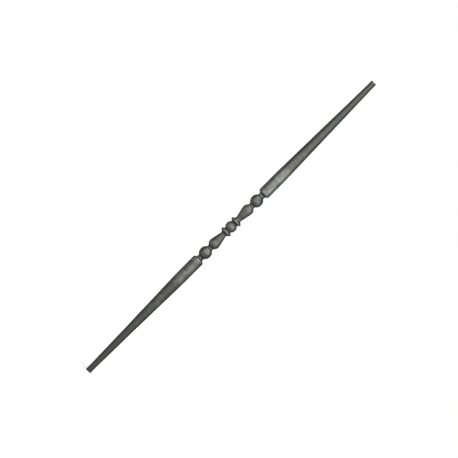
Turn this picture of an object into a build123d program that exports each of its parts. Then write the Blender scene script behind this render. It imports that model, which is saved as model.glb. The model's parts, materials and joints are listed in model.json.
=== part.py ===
from build123d import *

import os
from math import asin, atan2, cos, hypot, sin, sqrt

# A solid wrought iron baluster, forged from one round bar.
# It stands along +Z with the middle of its foot end at the origin, and its two halves mirror each other.
# From the middle outwards each half has half of a ball, a sharp collar, a pear, a larger ball and a
# chamfered shaft, which runs parallel for a short way and then tapers to a plain round end.
# Sizes are in millimetres.

# Whole bar, and the plain round ends that go into the rails
overall_length = 1000.0
end_diameter = 15.5
end_length = 20.0

# Shaft, which is parallel from its chamfered shoulder to the start of its taper
shaft_diameter = 30.5
shaft_parallel_length = 65.0
shaft_chamfer = 3.5

# Outer ball, made of two half balls with a short straight band between them, and the neck on each side
outer_ball_diameter = 31.3
outer_ball_band = 1.8
shaft_neck_diameter = 17.0
shaft_neck_length = 8.0
pear_neck_diameter = 16.3
pear_neck_length = 5.4

# Pear, a straight taper that runs into a round end
pear_diameter = 28.5
pear_small_diameter = 15.0
pear_taper_length = 33.4

# Collar, a crowned rim with a cone on each side
collar_diameter = 29.8
collar_rim_thickness = 3.0
collar_rim_crown = 0.5
collar_cone_to_ball = 4.2
collar_cone_to_pear = 6.0

# Middle ball, and the groove where it meets each collar
middle_ball_diameter = 28.8
groove_diameter = 17.0

# Roundings that the forging leaves in the hollows from the middle to the outer ball, and on the shoulder.
# The neck at the shaft keeps square corners.
hollow_radius = 1.6
shoulder_radius = 0.8

end_radius = end_diameter / 2
shaft_radius = shaft_diameter / 2
outer_ball_radius = outer_ball_diameter / 2
shaft_neck_radius = shaft_neck_diameter / 2
pear_neck_radius = pear_neck_diameter / 2
pear_radius = pear_diameter / 2
pear_small_radius = pear_small_diameter / 2
rim_radius = collar_diameter / 2
rim_edge_radius = rim_radius - collar_rim_crown
middle_ball_radius = middle_ball_diameter / 2
groove_radius = groove_diameter / 2

# Distances from the mid plane, from the middle outwards
groove = sqrt(middle_ball_radius**2 - groove_radius**2)
rim_start = groove + collar_cone_to_ball
rim_end = rim_start + collar_rim_thickness
pear_start = rim_end + collar_cone_to_pear
pear_middle = pear_start + pear_taper_length
pear_end = pear_middle + sqrt(pear_radius**2 - pear_neck_radius**2)
outer_ball_start = pear_end + pear_neck_length
band_start = outer_ball_start + sqrt(outer_ball_radius**2 - pear_neck_radius**2)
band_end = band_start + outer_ball_band
outer_ball_end = band_end + sqrt(outer_ball_radius**2 - shaft_neck_radius**2)
shaft_start = outer_ball_end + shaft_neck_length
half_length = overall_length / 2

# Angle to the axis of the pear's straight side, which starts at its small end and touches its round end
pear_slope = asin(pear_radius / hypot(pear_taper_length, pear_small_radius))
pear_slope -= atan2(pear_small_radius, pear_taper_length)


def at(radius, distance):
    """A point of the section, from its radius and its distance above the mid plane."""
    return Vector(radius, 0, half_length + distance)


# Points of the upper half's outline, from the middle outwards
ball_side = at(middle_ball_radius, 0)
groove_root = at(groove_radius, groove)
rim_inner_edge = at(rim_edge_radius, rim_start)
rim_crest = at(rim_radius, (rim_start + rim_end) / 2)
rim_outer_edge = at(rim_edge_radius, rim_end)
pear_root = at(pear_small_radius, pear_start)
pear_touch = at(pear_radius * cos(pear_slope), pear_middle - pear_radius * sin(pear_slope))
neck_at_pear = at(pear_neck_radius, pear_end)
neck_at_ball = at(pear_neck_radius, outer_ball_start)
band_inner_edge = at(outer_ball_radius, band_start)
band_outer_edge = at(outer_ball_radius, band_end)
neck_past_ball = at(shaft_neck_radius, outer_ball_end)
neck_at_shaft = at(shaft_neck_radius, shaft_start)
shaft_face_edge = at(shaft_radius - shaft_chamfer, shaft_start)
shaft_shoulder = at(shaft_radius, shaft_start + shaft_chamfer)
taper_start = at(shaft_radius, shaft_start + shaft_parallel_length)
taper_end = at(end_radius, half_length - end_length)
end_edge = at(end_radius, half_length)
end_middle = at(0, half_length)

outwards = Vector(0, 0, 1)
along_pear = Vector(sin(pear_slope), 0, cos(pear_slope))
upper_outline = Curve() + [
    TangentArc(ball_side, groove_root, tangent=outwards),
    Line(groove_root, rim_inner_edge),
    ThreePointArc(rim_inner_edge, rim_crest, rim_outer_edge),
    Line(rim_outer_edge, pear_root),
    Line(pear_root, pear_touch),
    TangentArc(pear_touch, neck_at_pear, tangent=along_pear),
    Line(neck_at_pear, neck_at_ball),
    TangentArc(band_inner_edge, neck_at_ball, tangent=-outwards),
    Line(band_inner_edge, band_outer_edge),
    TangentArc(band_outer_edge, neck_past_ball, tangent=outwards),
    Line(neck_past_ball, neck_at_shaft),
    Polyline(neck_at_shaft, shaft_face_edge, shaft_shoulder, taper_start, taper_end, end_edge, end_middle),
]
lower_outline = mirror(upper_outline, about=Plane.XY.offset(half_length))
foot_middle = Vector(0, 0, 0)
section = make_face([*upper_outline.edges(), *lower_outline.edges(), Line(end_middle, foot_middle)])


def rounded(face, points, radius):
    """The face with its corners at these points, and at their mirror images, rounded."""
    mirrored = [Vector(p.X, 0, overall_length - p.Z) for p in points]
    spots = [*points, *mirrored]
    same_point = 1e-6
    corners = [v for v in face.vertices() if any((Vector(v) - p).length < same_point for p in spots)]
    return fillet(corners, radius)


section = rounded(section, [groove_root, pear_root, neck_at_pear, neck_at_ball], hollow_radius)
section = rounded(section, [shaft_shoulder], shoulder_radius)
baluster = revolve(section, axis=Axis.Z)

os.makedirs("parts", exist_ok=True)
export_step(baluster, "parts/baluster.step")
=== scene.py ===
"""Looks of a wrought iron baluster: one forged bar, and the white studio it is seen in.

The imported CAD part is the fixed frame. The bar is made here again, as a fine mesh of the same form with the
unevenness that forging leaves, and stands for the CAD solid.
"""

import json
from math import asin, atan2, cos, hypot, radians, sin, sqrt, tau
from types import SimpleNamespace

import bpy
import numpy as np
from mathutils import Matrix, Vector, noise


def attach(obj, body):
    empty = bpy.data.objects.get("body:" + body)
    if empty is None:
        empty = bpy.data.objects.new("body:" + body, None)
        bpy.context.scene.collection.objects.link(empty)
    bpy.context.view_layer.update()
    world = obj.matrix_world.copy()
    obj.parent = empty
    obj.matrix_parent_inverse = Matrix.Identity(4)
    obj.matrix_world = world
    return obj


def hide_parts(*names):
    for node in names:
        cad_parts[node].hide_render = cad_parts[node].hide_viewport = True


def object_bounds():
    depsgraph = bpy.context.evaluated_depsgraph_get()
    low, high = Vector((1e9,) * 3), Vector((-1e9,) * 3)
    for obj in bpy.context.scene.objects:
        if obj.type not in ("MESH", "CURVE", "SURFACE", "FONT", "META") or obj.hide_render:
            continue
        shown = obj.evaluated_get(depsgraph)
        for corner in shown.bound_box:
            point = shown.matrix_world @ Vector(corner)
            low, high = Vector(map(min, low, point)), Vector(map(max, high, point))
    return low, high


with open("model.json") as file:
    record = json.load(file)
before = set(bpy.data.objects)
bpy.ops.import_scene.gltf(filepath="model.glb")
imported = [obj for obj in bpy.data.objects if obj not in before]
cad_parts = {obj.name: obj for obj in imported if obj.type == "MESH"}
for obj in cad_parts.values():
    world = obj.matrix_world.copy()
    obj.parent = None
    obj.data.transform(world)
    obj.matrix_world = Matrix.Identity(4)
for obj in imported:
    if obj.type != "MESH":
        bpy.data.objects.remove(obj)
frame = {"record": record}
cad_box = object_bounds()

bl_info = {
    "name": "Wrought iron baluster",
    "version": (1, 0, 0),
    "blender": (4, 5, 0),
    "location": "View3D > Sidebar > Baluster",
    "description": "Forges the baluster over its CAD frame and sets the studio around it",
    "category": "Object",
}

NODE = "baluster"
BODY = "root"
foot_pin = next(mount for mount in frame["record"]["mounts"] if mount["name"] == "foot_pin")["dims"]
bar_length = cad_box[1].z - cad_box[0].z
half_length = bar_length / 2

# A Mix node's sockets for colours go by number, because they share their names with its sockets for numbers
MIX_AMOUNT, MIX_UNDER, MIX_OVER, MIX_RESULT = 0, 6, 7, 2

# Radians by which Blender's wave texture goes on for each unit of its vector
WAVE_RATE = 20


def linear(hex_colour):
    """The linear red, green and blue of an sRGB hex colour."""
    channels = [int(hex_colour[i : i + 2], 16) / 255 for i in (1, 3, 5)]
    return tuple(c / 12.92 if c <= 0.04045 else ((c + 0.055) / 1.055) ** 2.4 for c in channels)


def millimetres(name, description, default):
    """A length property, with its default in millimetres and its value in metres."""
    return bpy.props.FloatProperty(
        name=name, description=description, default=default / 1000, min=0, unit="LENGTH", precision=5
    )


def colour(name, description, hex_colour):
    """A colour property, with its default as an sRGB hex value."""
    return bpy.props.FloatVectorProperty(
        name=name, description=description, default=linear(hex_colour), min=0, max=1, subtype="COLOR"
    )


def share(name, description, default):
    """A property from 0 to 1."""
    return bpy.props.FloatProperty(
        name=name, description=description, default=default, min=0, max=1, subtype="FACTOR"
    )


def amount(name, description, default):
    """A plain number."""
    return bpy.props.FloatProperty(name=name, description=description, default=default, min=0)


def place(name, description, default):
    """A place in metres, in the bar's own frame."""
    return bpy.props.FloatVectorProperty(
        name=name, description=description, default=default, subtype="TRANSLATION", unit="LENGTH"
    )


def watts(name, description, default):
    """A lamp's power."""
    return bpy.props.FloatProperty(name=name, description=description, default=default, min=0, unit="POWER")


def pixels(name, description, default):
    """A length in the image."""
    return bpy.props.FloatProperty(
        name=name, description=description, default=default, min=0, subtype="PIXEL"
    )


class BalusterForms(bpy.types.PropertyGroup):
    """Sizes of the forms along the bar. Each half is the mirror image of the other."""

    end_diameter: millimetres("End", "Across the plain round ends", 2 * foot_pin["r_mm"])
    end_length: millimetres("End length", "Length of each plain round end", foot_pin["length_mm"])
    shaft_diameter: millimetres("Shaft", "Across the parallel part of each shaft", 30.5)
    shaft_parallel_length: millimetres("Shaft length", "From the shaft's face to the start of its taper", 65)
    shaft_chamfer: millimetres("Shaft chamfer", "Width of the chamfer round the shaft's face", 3.5)
    outer_ball_diameter: millimetres("Outer ball", "Across each outer ball", 31.3)
    outer_ball_band: millimetres("Outer ball band", "Straight band between the outer ball's halves", 1.8)
    shaft_neck_diameter: millimetres("Shaft neck", "Across the neck between outer ball and shaft", 17)
    shaft_neck_length: millimetres("Shaft neck length", "From the outer ball to the shaft's face", 8)
    pear_neck_diameter: millimetres("Pear neck", "Across the neck between pear and outer ball", 16.3)
    pear_neck_length: millimetres("Pear neck length", "From the pear to the outer ball", 5.4)
    pear_diameter: millimetres("Pear", "Across the pear's round end", 28.5)
    pear_small_diameter: millimetres("Pear small end", "Across the pear where it leaves the collar", 15)
    pear_taper_length: millimetres("Pear taper", "From the small end to the middle of the round end", 33.4)
    collar_diameter: millimetres("Collar", "Across the collar's rim", 29.8)
    collar_rim_thickness: millimetres("Collar rim", "Thickness of the collar's rim", 3)
    collar_rim_crown: millimetres("Collar crown", "How far the rim's middle stands above its edges", 0.5)
    collar_cone_to_ball: millimetres("Collar to ball", "Length of the collar's cone on the ball's side", 4.2)
    collar_cone_to_pear: millimetres("Collar to pear", "Length of the collar's cone on the pear's side", 6)
    middle_ball_diameter: millimetres("Middle ball", "Across the ball in the middle", 28.8)
    groove_diameter: millimetres("Groove", "Across the groove between ball and collar", 17)
    groove_radius: millimetres("Groove radius", "Radius that forging leaves in the groove by the ball", 1.6)
    hollow_radius: millimetres("Hollow radius", "Radius that forging leaves in the other hollows", 4)
    edge_radius: millimetres("Edge radius", "Radius that wear leaves on the edges", 0.6)


class ForgedSurface(bpy.types.PropertyGroup):
    """What hammer, brush and wear leave along the bar, where shade is painted towards its ends and in its
    hollows, and how finely the mesh follows it.
    """

    mark_spacing: millimetres("Mark spacing", "Distance between the middles of hammer marks", 16)
    mark_reach: share("Mark reach", "Radius of a hammer mark, as a share of that distance", 0.625)
    mark_depth: millimetres("Mark depth", "Depth of a hammer mark at its middle", 0.24)
    wave_length: millimetres("Wave length", "Length of the slow waves along and round the bar", 45)
    wave_depth: millimetres("Wave depth", "Depth of the slow waves", 0.22)
    lost_scale: millimetres("Lost scale", "What the fire takes off the bar all round", 0.03)
    plain_end: millimetres("Plain end", "Length at each end over which the unevenness fades out", 6)
    ornament_marks: share("Ornament marks", "How much of the unevenness is left on the ornament", 0.35)
    middle_share: share("Middle share", "How well the brush reaches the middle ball", 0.8)
    outer_share: share("Outer share", "How well the brush reaches the ornament next to the shafts", 0.25)
    brushed_past: millimetres("Brushed past", "How far past the start of its taper a shaft is brushed", 8)
    foot_fade: millimetres("Foot fade", "Length over which the brushed part runs out towards the foot", 16)
    head_fade: millimetres("Head fade", "Length over which the brushed part runs out towards the head", 60)
    # Over this length the bar goes darker to each end: thicker scale, and painted shade
    end_scale_and_shade: millimetres("Thick scale", "Length over which the scale grows thicker to each end", 250)
    surroundings: millimetres("Surroundings", "Length each way that crests and hollows are judged by", 2)
    full_crest: millimetres("Full crest", "Height over its surroundings at which an edge is most worn", 0.4)
    full_hollow: millimetres("Full hollow", "Depth under its surroundings at which a hollow is darkest", 1)
    ornament_spacing: millimetres("Ornament spacing", "Distance between mesh rows on the ornament", 0.8)
    shaft_spacing: millimetres("Shaft spacing", "Distance between mesh rows on the shafts", 2.5)
    cap_spacing: millimetres("Cap spacing", "Distance between mesh rings on the cut ends", 1.6)
    around: bpy.props.IntProperty(
        name="Around", description="Mesh columns round the bar", default=112, min=16
    )


class IronFinish(bpy.types.PropertyGroup):
    """Colours and grain of the forged iron, with painted shade in its hollows."""

    scale_colour: colour("Scale", "Dark forge scale", "#3F403C")
    temper_colour: colour("Tempered scale", "Thin scale with a blue cast", "#3D403F")
    brushed_colour: colour("Brushed iron", "Iron that the wire brush has reached", "#585956")
    # Darker colour in the hollows: scale the brush missed, and painted shade
    hollow_scale_and_shade_colour: colour("Hollows", "Scale and soot left in the hollows", "#3D3D3A")
    worn_colour: colour("Worn edges", "Bare iron on the edges that hands and tools have worn", "#7C7C77")
    scale_roughness: share("Scale roughness", "Roughness of the scale", 0.45)
    brushed_roughness: share("Brushed roughness", "Roughness of the brushed iron", 0.37)
    edge_tint: share("Edge tint", "How much of the glancing reflection the scale lets through", 0.1)
    patch_size: millimetres("Patch size", "Across a patch of thick or thin scale", 14)
    cloud_size: millimetres("Cloud size", "Across a slow change of tone", 70)
    patch_strength: amount("Patch strength", "How much the patches count, next to the clouds", 2)
    brush_strength: amount("Brush strength", "How much the brush's reach counts, next to the clouds", 0.5)
    brushed_from: amount("Brushed from", "Sum of patches, clouds and reach where the scale thins", 1.4)
    brushed_full: amount("Brushed full", "Sum of patches, clouds and reach where all is brushed", 2.4)
    tempered_from: amount("Tempered from", "Level of the clouds at which the blue cast starts", 0.5)
    tempered_full: amount("Tempered full", "Level of the clouds at which the blue cast is full", 0.62)
    grain_size: millimetres("Grain size", "Across a grain of the scale", 1.6)
    grain_height: millimetres("Grain height", "Height of a grain of the scale", 0.15)
    scratch_width: millimetres("Scratch width", "Width of a scratch of the wire brush", 0.9)
    scratch_length: millimetres("Scratch length", "Length of a scratch of the wire brush", 14)
    scratch_depth: millimetres("Scratch depth", "Depth of a scratch of the wire brush", 0.06)
    pit_spacing: millimetres("Pit spacing", "Distance between pits where scale has flaked off", 6)
    pit_radius: millimetres("Pit radius", "Radius of a pit", 1.1)
    pit_depth: millimetres("Pit depth", "Depth of a pit", 0.08)
    saw_pitch: millimetres("Saw pitch", "Distance between the saw's marks on the cut ends", 2.369)
    saw_depth: millimetres("Saw depth", "Depth of the saw's marks", 0.05)
    saw_wander: amount("Saw wander", "How far the saw's marks wander, in radians of their pitch", 1.5)


class BalusterStudio(bpy.types.PropertyGroup):
    """Camera, lamps and floor."""

    image_width: pixels("Image", "Width of the image", 458)
    bar_in_image: pixels("Bar in image", "Length of the bar in the image", 405.9)
    bar_middle: bpy.props.FloatVectorProperty(
        name="Bar middle", description="Pixel at the middle of the bar, from the image's upper left corner",
        size=2, default=(231.05, 226.8), subtype="COORDINATES"
    )
    bar_angle: bpy.props.FloatProperty(
        name="Bar angle", description="Angle of the bar above the image's lower edge", default=radians(45.25),
        subtype="ANGLE"
    )
    camera_distance: millimetres("Camera distance", "From the camera to the bar", 4000)
    room_colour: colour("Room", "The white room all round", "#FFFFFF")
    floor_near_colour: colour("Floor near", "White floor under the lamps", "#AFAFAF")
    floor_far_colour: colour("Floor far", "White floor away from the lamps", "#FFFFFF")
    floor_width: millimetres("Floor width", "Width of the floor", 60000)
    lamplit_radius: millimetres("Lamplit radius", "Radius of the floor that the lamps reach", 3500)
    strip_height: millimetres("Strip height", "Height of each low lamp before the bar", 240)
    left_place: place("Left strip place", "Middle of the low lamp to the left", (-0.32, -0.51, 0.65))
    left_width: millimetres("Left strip width", "Width of the low lamp to the left", 350)
    left_power: watts("Left strip power", "Power of the low lamp to the left", 0.85)
    right_place: place("Right strip place", "Middle of the low lamp to the right", (0.46, -0.39, 0.69))
    right_width: millimetres("Right strip width", "Width of the low lamp to the right", 750)
    right_power: watts("Right strip power", "Power of the low lamp to the right", 1.7)
    front_place: place("Front lamp place", "Middle of the wide lamp in front of the bar", (0.35, -1.95, 1.0))
    front_width: millimetres("Front lamp width", "Width of the lamp in front", 4000)
    front_height: millimetres("Front lamp height", "Height of the lamp in front", 1700)
    front_power: watts("Front lamp power", "Power of the lamp in front", 55)
    top_place: place("Top lamp place", "Middle of the large lamp above the bar", (0, -0.7, 2.8))
    top_width: millimetres("Top lamp width", "Width of the lamp above", 2300)
    top_depth: millimetres("Top lamp depth", "Depth of the lamp above", 1300)
    top_power: watts("Top lamp power", "Power of the lamp above", 88)
    back_place: place("Back lamp place", "Middle of the lamp behind the bar", (0, 1.95, 1.1))
    back_width: millimetres("Back lamp width", "Width of the lamp behind", 2100)
    back_height: millimetres("Back lamp height", "Height of the lamp behind", 1600)
    back_power: watts("Back lamp power", "Power of the lamp behind", 22)


def node(tree, kind, inputs=None, **settings):
    """Adds a node with its settings, and gives its inputs their values or links."""
    made = tree.nodes.new(kind)
    for name, value in settings.items():
        setattr(made, name, value)
    for socket, value in (inputs or {}).items():
        if isinstance(value, bpy.types.NodeSocket):
            tree.links.new(value, made.inputs[socket])
        else:
            made.inputs[socket].default_value = value
    return made


def stations(forms):
    """Distances from the mid plane at which the bar's forms start and end, from the middle outwards."""
    pear, pear_neck = forms.pear_diameter / 2, forms.pear_neck_diameter / 2
    outer_ball, shaft_neck = forms.outer_ball_diameter / 2, forms.shaft_neck_diameter / 2
    at = SimpleNamespace()
    at.groove = sqrt((forms.middle_ball_diameter / 2) ** 2 - (forms.groove_diameter / 2) ** 2)
    at.rim_start = at.groove + forms.collar_cone_to_ball
    at.rim_end = at.rim_start + forms.collar_rim_thickness
    at.pear_start = at.rim_end + forms.collar_cone_to_pear
    at.pear_middle = at.pear_start + forms.pear_taper_length
    at.pear_end = at.pear_middle + sqrt(pear**2 - pear_neck**2)
    at.band_start = at.pear_end + forms.pear_neck_length + sqrt(outer_ball**2 - pear_neck**2)
    at.band_end = at.band_start + forms.outer_ball_band
    at.shaft_start = at.band_end + sqrt(outer_ball**2 - shaft_neck**2) + forms.shaft_neck_length
    at.taper_start = at.shaft_start + forms.shaft_parallel_length
    at.taper_end = half_length - forms.end_length
    return at


def rounded(radius, offset):
    """How far a ball of this radius reaches out from the axis, at these offsets from its middle."""
    return np.sqrt(np.maximum(radius**2 - offset**2, 0))


def sharp_radius(forms, at, distance):
    """The radius of the bar with sharp corners, at distances from its mid plane."""
    pear, pear_small = forms.pear_diameter / 2, forms.pear_small_diameter / 2
    shaft = forms.shaft_diameter / 2
    rim_edge = forms.collar_diameter / 2 - forms.collar_rim_crown

    along_rim = 2 * (distance - at.rim_start) / forms.collar_rim_thickness - 1
    crown = forms.collar_rim_crown * np.clip(1 - along_rim**2, 0, 1)
    collar = crown + np.interp(
        distance,
        [at.groove, at.rim_start, at.rim_end, at.pear_start],
        [forms.groove_diameter / 2, rim_edge, rim_edge, pear_small],
        left=0, right=0,
    )

    # The pear's straight taper runs into its round end at a tangent
    slope = asin(pear / hypot(forms.pear_taper_length, pear_small))
    slope -= atan2(pear_small, forms.pear_taper_length)
    touch = at.pear_middle - pear * sin(slope)
    taper_radii = [pear_small, pear * cos(slope)]
    pear_taper = np.interp(distance, [at.pear_start, touch], taper_radii, left=0, right=0)
    pear_end = np.where(distance >= touch, rounded(pear, distance - at.pear_middle), 0)
    past_pear = (distance > at.pear_middle) & (distance < at.band_start)
    pear_neck = np.where(past_pear, forms.pear_neck_diameter / 2, 0)

    beyond_band = np.maximum(np.maximum(at.band_start - distance, distance - at.band_end), 0)
    outer_ball = rounded(forms.outer_ball_diameter / 2, beyond_band)
    past_ball = (distance > at.band_end) & (distance < at.taper_start)
    shaft_neck = np.where(past_ball, forms.shaft_neck_diameter / 2, 0)
    tapered_shaft = np.interp(
        distance,
        [at.shaft_start, at.shaft_start + forms.shaft_chamfer, at.taper_start, at.taper_end],
        [shaft - forms.shaft_chamfer, shaft, shaft, forms.end_diameter / 2],
        left=0,
    )

    middle_ball = rounded(forms.middle_ball_diameter / 2, distance)
    return np.maximum.reduce([
        middle_ball, collar, pear_taper, pear_end, pear_neck, outer_ball, shaft_neck, tapered_shaft
    ])


def rolled(radius, step, ball_radius):
    """The outline with its hollows filled as far as a ball that rolls along its outer side can't reach."""
    reach = int(ball_radius / step)
    shifts = [(k, sqrt(max(ball_radius**2 - (k * step) ** 2, 0))) for k in range(-reach, reach + 1)]
    raised = np.max([np.roll(radius, k) + lift for k, lift in shifts], axis=0)
    return np.min([np.roll(raised, k) - lift for k, lift in shifts], axis=0)


def brush_reach_and_end_shade(surface, at, height, distance):
    """How well the brush reaches each height: best on the parallel shafts, less on the ornament, and below
    nothing at the ends. Over the last stretch to each end it is lowered further, so that the bar is darker
    there: thicker scale, and painted shade where the lamps' light falls off."""
    brushed_end = at.taper_start + surface.brushed_past
    fade = np.where(height < half_length, surface.foot_fade, surface.head_fade)
    on_shafts = np.clip((brushed_end - distance) / fade + 1, 0, 1)
    on_ornament = np.interp(distance, [0, at.shaft_start], [surface.middle_share, surface.outer_share])
    # The bar is darker over the last stretch to each end: thicker scale, and painted shade
    thick = np.clip(1 - (half_length - distance) / surface.end_scale_and_shade, 0, 1)
    return np.where(distance < at.shaft_start, on_ornament, on_shafts) - thick


def forged_outline(forms, surface):
    """Heights and radii of the mesh rows from foot to head, with how proud, how well brushed and how uneven
    each is. How well brushed goes down towards each end as painted shade."""
    # Metres between the outline's samples, and of air past each end, which is more than a rounding reaches
    step = 0.0001
    margin = 0.006
    height = np.arange(-margin, bar_length + margin, step)
    distance = np.abs(height - half_length)
    at = stations(forms)
    sharp = sharp_radius(forms, at, distance)
    sharp[distance > half_length] = 0
    grooves = rolled(sharp, step, forms.groove_radius)
    hollows = rolled(sharp, step, forms.hollow_radius)
    filled = np.where(distance < at.rim_end, grooves, hollows)
    radius = -rolled(-filled, step, forms.edge_radius) - surface.lost_scale

    # A crest stands above the mean of its surroundings, and a hollow lies below it
    window = np.hanning(int(2 * surface.surroundings / step))
    proud = radius - np.convolve(radius, window / window.sum(), mode="same")

    brush_and_end_shade = brush_reach_and_end_shade(surface, at, height, distance)
    uneven = np.clip((half_length - distance) / surface.plain_end, 0, 1)
    uneven *= np.interp(distance, [at.shaft_start, at.taper_start], [surface.ornament_marks, 1])

    # Rows are spaced by length along the outline, and the close ones run on past the shaft's chamfer
    inside = (distance <= half_length) & (radius > 0)
    height, distance, radius = height[inside], distance[inside], radius[inside]
    ornament = distance < at.shaft_start + 2 * forms.shaft_chamfer
    spacing = np.where(ornament, surface.ornament_spacing, surface.shaft_spacing)
    run = np.hypot(np.diff(height), np.diff(radius)) / spacing[1:]
    count = np.concatenate([[0], np.cumsum(run)])
    rows = np.linspace(0, count[-1], round(count[-1]) + 1)
    kept = (height, radius, proud[inside], brush_and_end_shade[inside], uneven[inside])
    return [np.interp(rows, count, values) for values in kept]


def forged_depth(point, surface):
    """How far the hammer has pushed this point of the surface in, where nothing has smoothed it again."""
    distances, _ = noise.voronoi(point / surface.mark_spacing)
    mark = max(0, 1 - distances[0] / surface.mark_reach) ** 2
    wave = (1 + noise.noise(point / surface.wave_length)) / 2
    return surface.mark_depth * mark + surface.wave_depth * wave


def bar_points(height, radius, uneven, angles, surface):
    """Rings of points from foot to head, each pushed in by the hammer along the outline's normal."""
    run, rise = np.gradient(height), np.gradient(radius)
    size = np.hypot(run, rise)
    points = []
    for z, r, out, up, left_uneven in zip(height, radius, run / size, -rise / size, uneven):
        for a in angles:
            point = Vector((r * cos(a), r * sin(a), z))
            normal = Vector((out * cos(a), out * sin(a), up))
            points.append(point - normal * forged_depth(point, surface) * left_uneven)
    return points


def bar_faces(rows, columns):
    """Quads between the rings, and one flat face inside the first ring and the last."""
    faces = []
    for row in range(rows - 1):
        below, above = row * columns, (row + 1) * columns
        for column in range(columns):
            beside = (column + 1) % columns
            faces.append([below + column, below + beside, above + beside, above + column])
    faces.append(list(range(columns - 1, -1, -1)))
    faces.append([(rows - 1) * columns + column for column in range(columns)])
    return faces


def bar_mesh(forms, surface):
    """The bar's mesh, with a flat cut face at each end, and what the finish reads from each of its rows."""
    height, radius, proud, brush_and_end_shade, uneven = forged_outline(forms, surface)
    cap_radii = np.arange(surface.ornament_spacing, radius[0], surface.cap_spacing)
    caps = len(cap_radii)
    height = np.concatenate([np.zeros(caps), height, np.full(caps, bar_length)])
    radius = np.concatenate([cap_radii, radius, cap_radii[::-1]])
    proud, brush_and_end_shade, uneven = (np.pad(values, caps) for values in (proud, brush_and_end_shade, uneven))
    cut = np.zeros(len(height))
    cut[:caps] = 1
    cut[-caps:] = 1

    columns = surface.around
    angles = np.arange(columns) * tau / columns
    mesh = bpy.data.meshes.new("forged_bar")
    mesh.from_pydata(
        bar_points(height, radius, uneven, angles, surface), [], bar_faces(len(height), columns)
    )
    mesh.shade_smooth()
    for name, values in (
        ("crest", np.clip(proud / surface.full_crest, 0, 1)),
        ("hollow", np.clip(-proud / surface.full_hollow, 0, 1)),
        ("brush_and_end_shade", brush_and_end_shade),
        ("cut_end", cut),
    ):
        attribute = mesh.attributes.new(name, "FLOAT", "POINT")
        attribute.data.foreach_set("value", np.repeat(values, columns).astype(np.float32))
    return mesh


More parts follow.
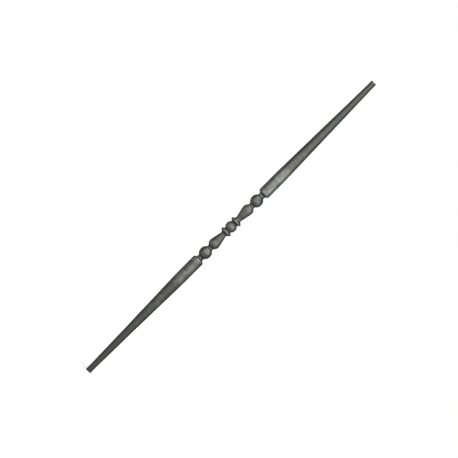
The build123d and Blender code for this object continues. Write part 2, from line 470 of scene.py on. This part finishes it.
def forged_iron(finish):
    """The bar's finish, from what each row of its mesh says and from patterns with real sizes."""
    # Forged iron, wire brushed. Its scale is a dark grey that shines softly, mottled and with a faint blue
    #     # cast in places. It is paler and glossier where the brush has thinned it, and bare on worn edges.
    #     It is
    #     # darker in the hollows, from scale the brush missed and painted shade, and darker towards each end,
    #     from
    #     # thicker scale and painted shade. From near by it shows a grain, scratches and pits, and saw marks
    #     on the
    #     # cut ends.
    material = bpy.data.materials.new("forged_iron_wire_brushed")
    material.use_nodes = True
    tree = material.node_tree
    tree.nodes.clear()
    point = node(tree, "ShaderNodeTexCoord").outputs["Object"]
    crest, hollow, brush_and_end_shade, cut = (
        node(tree, "ShaderNodeAttribute", attribute_name=name).outputs["Fac"]
        for name in ("crest", "hollow", "brush_and_end_shade", "cut_end")
    )

    # Patches of thick and thin scale, slower clouds of tone along the bar, and the grain of the scale.
    # Real grain, scratches and saw marks are too fine to show, so they are drawn a few times coarser.
    patches, clouds, grain = (
        node(tree, "ShaderNodeTexNoise", {"Vector": point, "Scale": 1 / size, "Detail": octaves})
        for size, octaves in ((finish.patch_size, 3), (finish.cloud_size, 1), (finish.grain_size, 2))
    )
    across, along = 1 / finish.scratch_width, 1 / finish.scratch_length
    drawn_out = node(tree, "ShaderNodeMapping", {"Vector": point, "Scale": (across, across, along)})
    scratches = node(tree, "ShaderNodeTexNoise", {
        "Vector": drawn_out.outputs["Vector"], "Scale": 1, "Detail": 1,
    }).outputs["Fac"]

    # A pit has a steep wall from its rim to half of its radius, and a flat floor
    flakes = node(tree, "ShaderNodeTexVoronoi", {"Vector": point, "Scale": 1 / finish.pit_spacing})
    rim = finish.pit_radius / finish.pit_spacing
    pits = node(tree, "ShaderNodeMapRange", {
        "Value": flakes.outputs["Distance"], "From Min": rim / 2, "From Max": rim, "To Min": 1, "To Max": 0,
    }, interpolation_type="SMOOTHSTEP").outputs["Result"]

    # How far the scale is brushed off, tempered blue, darker in hollows and pits, or worn to bare iron. The
    #     # darkness in the hollows is scale the brush missed, and painted shade.
    thin = node(tree, "ShaderNodeMath", {
        0: patches.outputs["Fac"], 1: finish.patch_strength, 2: clouds.outputs["Fac"],
    }, operation="MULTIPLY_ADD").outputs[0]
    # The reach holds the painted shade towards each end, where less is brushed and the darker scale shows
    reached = node(tree, "ShaderNodeMath", {
        0: brush_and_end_shade, 1: finish.brush_strength, 2: thin,
    }, operation="MULTIPLY_ADD").outputs[0]
    brushed = node(tree, "ShaderNodeMapRange", {
        "Value": reached, "From Min": finish.brushed_from, "From Max": finish.brushed_full,
    }, interpolation_type="SMOOTHSTEP").outputs["Result"]
    tempered = node(tree, "ShaderNodeMapRange", {
        "Value": clouds.outputs["Color"], "From Min": finish.tempered_from, "From Max": finish.tempered_full,
    }).outputs["Result"]
    scratched, flaked, rubbed = (
        node(tree, "ShaderNodeMath", {0: where, 1: pattern}, operation="MULTIPLY").outputs[0]
        for where, pattern in (
            (brushed, scratches), (pits, grain.outputs["Fac"]), (crest, grain.outputs["Fac"]),
        )
    )
    # The hollows are darker from scale and painted shade, the pits from flaked scale; crests and cut ends are
    # bare
    hollow_shade_and_pits, bare = (
        node(tree, "ShaderNodeMath", {0: one, 1: other}, operation="MAXIMUM").outputs[0]
        for one, other in ((hollow, flaked), (rubbed, cut))
    )

    tone = (*finish.scale_colour, 1)
    # The hollow colour is laid over as scale and painted shade
    for covered, over in (
        (tempered, finish.temper_colour),
        (brushed, finish.brushed_colour),
        (hollow_shade_and_pits, finish.hollow_scale_and_shade_colour),
        (bare, finish.worn_colour),
    ):
        tone = node(tree, "ShaderNodeMix", {
            MIX_AMOUNT: covered, MIX_UNDER: tone, MIX_OVER: (*over, 1),
        }, data_type="RGBA").outputs[MIX_RESULT]

    # Brushed iron has its whole gloss where a scratch is at the mean of its noise or above
    noise_mean = 0.5
    roughness = node(tree, "ShaderNodeMapRange", {
        "Value": scratched, "From Max": noise_mean,
        "To Min": finish.scale_roughness, "To Max": finish.brushed_roughness,
    }).outputs["Result"]

    # Heights are added up in metres, so the bump takes them as they are
    saw = node(tree, "ShaderNodeTexWave", {
        "Vector": point, "Scale": tau / WAVE_RATE / finish.saw_pitch, "Distortion": finish.saw_wander,
    })
    sawn = node(tree, "ShaderNodeMath", {0: saw.outputs["Fac"], 1: cut}, operation="MULTIPLY").outputs[0]
    relief = 0
    for pattern, rise in (
        (grain.outputs["Fac"], finish.grain_height),
        (scratched, -finish.scratch_depth),
        (pits, -finish.pit_depth),
        (sawn, finish.saw_depth),
    ):
        relief = node(tree, "ShaderNodeMath", {
            0: pattern, 1: rise, 2: relief,
        }, operation="MULTIPLY_ADD").outputs[0]
    bump = node(tree, "ShaderNodeBump", {"Height": relief, "Distance": 1})

    shader = node(tree, "ShaderNodeBsdfPrincipled", {
        "Base Color": tone,
        "Metallic": 1.0,
        "Roughness": roughness,
        "Specular Tint": (finish.edge_tint, finish.edge_tint, finish.edge_tint, 1),
        "Normal": bump.outputs["Normal"],
    })
    node(tree, "ShaderNodeOutputMaterial", {"Surface": shader.outputs["BSDF"]})
    return material


def painted_floor(studio):
    """The floor's finish."""
    # White board, painted matt. It gives an even white that takes a soft shadow. The paint is greyer under
    # the lamps, so that it stays white there and no whiter.
    material = bpy.data.materials.new("matt_white_painted_board")
    material.use_nodes = True
    tree = material.node_tree
    tree.nodes.clear()
    point = node(tree, "ShaderNodeTexCoord").outputs["Object"]
    away = node(tree, "ShaderNodeVectorMath", {0: point}, operation="LENGTH").outputs["Value"]
    far = node(tree, "ShaderNodeMapRange", {
        "Value": away, "From Max": studio.lamplit_radius,
    }, interpolation_type="SMOOTHSTEP").outputs["Result"]
    paint = node(tree, "ShaderNodeMix", {
        MIX_AMOUNT: far,
        MIX_UNDER: (*studio.floor_near_colour, 1),
        MIX_OVER: (*studio.floor_far_colour, 1),
    }, data_type="RGBA").outputs[MIX_RESULT]
    shader = node(tree, "ShaderNodeBsdfDiffuse", {"Color": paint})
    node(tree, "ShaderNodeOutputMaterial", {"Surface": shader.outputs["BSDF"]})
    return material


def paint_room(scene, studio):
    """Puts a white room all round."""
    world = bpy.data.worlds.new("white_room")
    world.use_nodes = True
    world.node_tree.nodes["Background"].inputs["Color"].default_value = (*studio.room_colour, 1)
    scene.world = world


def lay_floor(scene, studio):
    """Lays the floor that the bar stands on."""
    half = studio.floor_width / 2
    corners = [(-half, -half, 0), (half, -half, 0), (half, half, 0), (-half, half, 0)]
    floor_mesh = bpy.data.meshes.new("floor")
    floor_mesh.from_pydata(corners, [], [(0, 1, 2, 3)])
    floor_mesh.materials.append(painted_floor(studio))
    floor = bpy.data.objects.new("floor", floor_mesh)
    scene.collection.objects.link(floor)


def hang_lamps(scene, studio, middle):
    """Hangs the soft lamps, each turned to the bar's middle."""
    for name, where, width, tall, power in (
        ("left_strip", studio.left_place, studio.left_width, studio.strip_height, studio.left_power),
        ("right_strip", studio.right_place, studio.right_width, studio.strip_height, studio.right_power),
        ("front_lamp", studio.front_place, studio.front_width, studio.front_height, studio.front_power),
        ("top_lamp", studio.top_place, studio.top_width, studio.top_depth, studio.top_power),
        ("back_lamp", studio.back_place, studio.back_width, studio.back_height, studio.back_power),
    ):
        light = bpy.data.lights.new(name, "AREA")
        light.shape = "RECTANGLE"
        light.size = width
        light.size_y = tall
        light.energy = power
        lamp = bpy.data.objects.new(name, light)
        lamp.location = where
        lamp.rotation_euler = (middle - lamp.location).to_track_quat("-Z", "Y").to_euler()
        lamp.visible_camera = False
        scene.collection.objects.link(lamp)


def aim_camera(scene, studio, middle):
    """Sets up the camera, which looks along +Y and is rolled so that the bar lies across the image."""
    roll = tau / 4 - studio.bar_angle
    right = Vector((cos(roll), 0, sin(roll)))
    up = Vector((-sin(roll), 0, cos(roll)))
    back = Vector((0, -1, 0))
    pixel = bar_length / studio.bar_in_image
    aside = (studio.bar_middle[0] - studio.image_width / 2) * pixel
    above = (studio.image_width / 2 - studio.bar_middle[1]) * pixel
    camera_data = bpy.data.cameras.new("camera")
    camera_data.lens = camera_data.sensor_width * studio.camera_distance / (studio.image_width * pixel)
    camera = bpy.data.objects.new("camera", camera_data)
    stand = middle + back * studio.camera_distance - right * aside - up * above
    turn = Matrix((right, up, back)).transposed().to_4x4()
    camera.matrix_world = Matrix.Translation(stand) @ turn
    scene.collection.objects.link(camera)
    scene.camera = camera


class BALUSTER_OT_forge_bar(bpy.types.Operator):
    """Forge the bar, give it its finish and let it stand for the CAD solid"""

    bl_idname = "baluster.forge_bar"
    bl_label = "Forge bar"

    def execute(self, context):
        scene = context.scene
        mesh = bar_mesh(scene.baluster_forms, scene.baluster_surface)
        mesh.materials.append(forged_iron(scene.baluster_finish))
        bar = bpy.data.objects.new("forged_bar", mesh)
        scene.collection.objects.link(bar)
        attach(bar, BODY)
        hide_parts(NODE)
        return {"FINISHED"}


class BALUSTER_OT_set_studio(bpy.types.Operator):
    """Set up the white room, the floor, the lamps and the camera"""

    bl_idname = "baluster.set_studio"
    bl_label = "Set studio"

    def execute(self, context):
        scene = context.scene
        studio = scene.baluster_studio
        middle = Vector((0, 0, half_length))
        paint_room(scene, studio)
        lay_floor(scene, studio)
        hang_lamps(scene, studio, middle)
        aim_camera(scene, studio, middle)
        scene.view_settings.view_transform = "Standard"
        return {"FINISHED"}


class BALUSTER_PT_panel(bpy.types.Panel):
    """Sizes, finish and studio of the baluster"""

    bl_idname = "BALUSTER_PT_panel"
    bl_label = "Wrought iron baluster"
    bl_space_type = "VIEW_3D"
    bl_region_type = "UI"
    bl_category = "Baluster"

    def draw(self, context):
        scene = context.scene
        for operator, used in (
            (BALUSTER_OT_forge_bar, (scene.baluster_forms, scene.baluster_surface, scene.baluster_finish)),
            (BALUSTER_OT_set_studio, (scene.baluster_studio,)),
        ):
            box = self.layout.box()
            for group in used:
                for name in group.__annotations__:
                    box.prop(group, name)
            box.operator(operator.bl_idname)


groups = {
    "baluster_forms": BalusterForms,
    "baluster_surface": ForgedSurface,
    "baluster_finish": IronFinish,
    "baluster_studio": BalusterStudio,
}
classes = (*groups.values(), BALUSTER_OT_forge_bar, BALUSTER_OT_set_studio, BALUSTER_PT_panel)


def register():
    """Adds the classes, and their settings to each scene."""
    for made in classes:
        bpy.utils.register_class(made)
    for name, group in groups.items():
        setattr(bpy.types.Scene, name, bpy.props.PointerProperty(type=group))


def unregister():
    """Takes the settings and the classes out again."""
    for name in groups:
        delattr(bpy.types.Scene, name)
    for made in reversed(classes):
        bpy.utils.unregister_class(made)


def main():
    register()
    bpy.ops.baluster.forge_bar()
    bpy.ops.baluster.set_studio()


if __name__ == "__main__":
    main()
